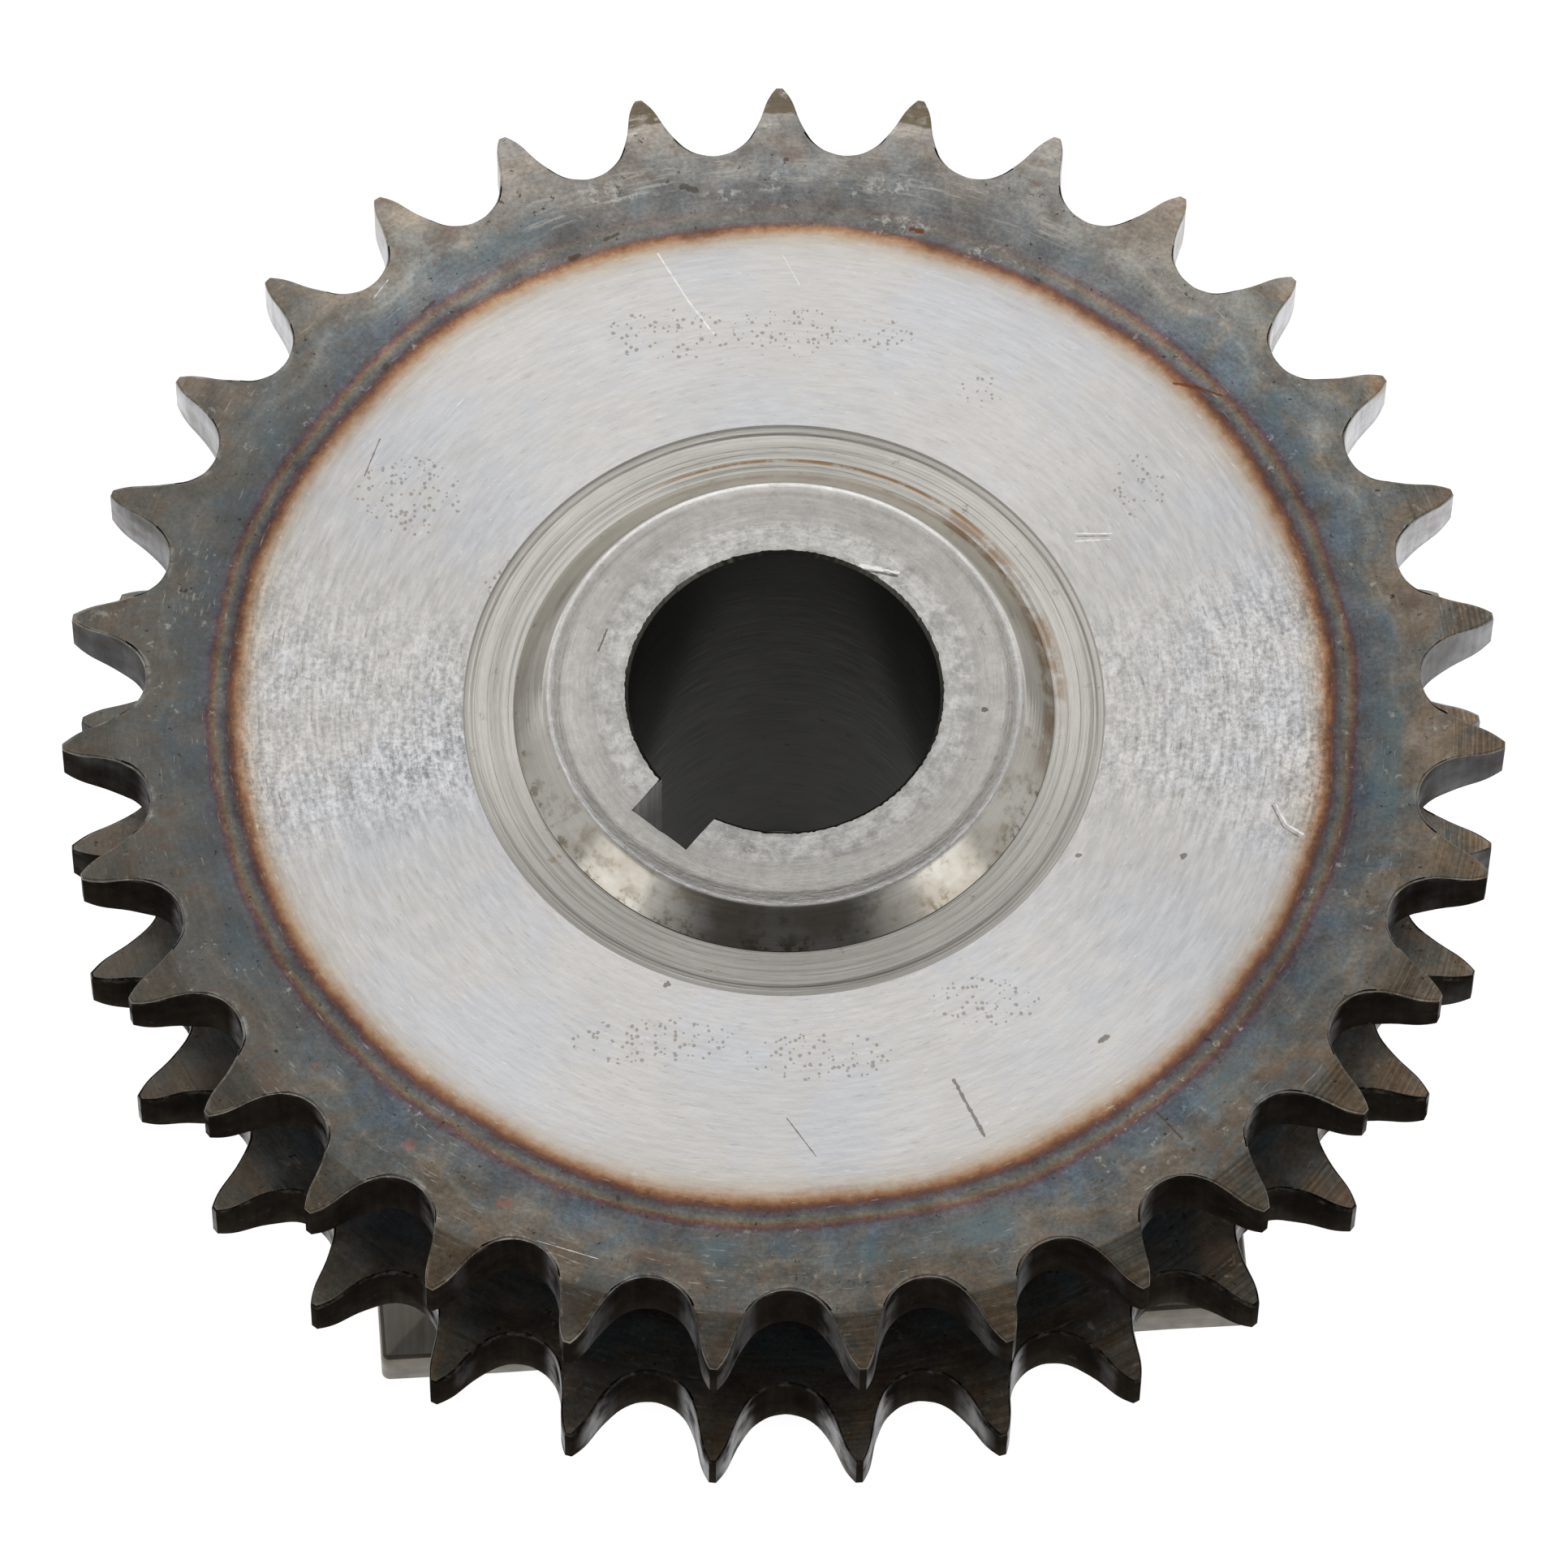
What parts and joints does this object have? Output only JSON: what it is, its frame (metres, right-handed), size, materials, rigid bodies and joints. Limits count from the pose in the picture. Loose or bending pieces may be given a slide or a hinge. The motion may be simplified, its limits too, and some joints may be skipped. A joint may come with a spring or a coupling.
{
  "type": "double-row roller chain sprocket",
  "caption": "Double-single roller-chain sprocket with two aligned tooth rows, a keyed through bore, a raised turned nose and a square plate welded behind.",
  "frame": {"origin": "on the bore axis, at the back face of the square plate", "axes": "+Z along the bore towards the nose; +Y through the middle of one tooth of each row"},
  "size_m": [0.1324, 0.1321, 0.0571],
  "materials": {
    "turned_steel": "turned and lightly worn, satin",
    "hardened_row": "ground face with a heat-tinted rim and brown-grey hardened teeth",
    "dark_steel": "dark, dull",
    "turned_weld": "turned, ivory-grey with a little rust",
    "weld_bead": "rippled bead, heat-darkened",
    "mill_plate": "mill surface with fine lines",
    "black_screw": "black oxide"
  },
  "bodies": {
    "sprocket": {"hub": "turned_steel", "front_sprocket": "hardened_row", "rear_sprocket": "hardened_row", "row_spacer": "dark_steel", "front_weld": "turned_weld", "rear_weld": "weld_bead", "square_plate": "mill_plate", "plate_weld": "weld_bead"},
    "key_screw": {"key_set_screw": "black_screw"},
    "side_screw": {"side_set_screw": "black_screw"}
  },
  "joints": [
    {"name": "key_screw_travel", "type": "slide", "parent": "sprocket", "child": "key_screw", "axis": [-0.6293, -0.7771, 0], "range_m": [0, 0.006]},
    {"name": "side_screw_travel", "type": "slide", "parent": "sprocket", "child": "side_screw", "axis": [0.7771, -0.6293, 0], "range_m": [0, 0.01]}
  ]
}
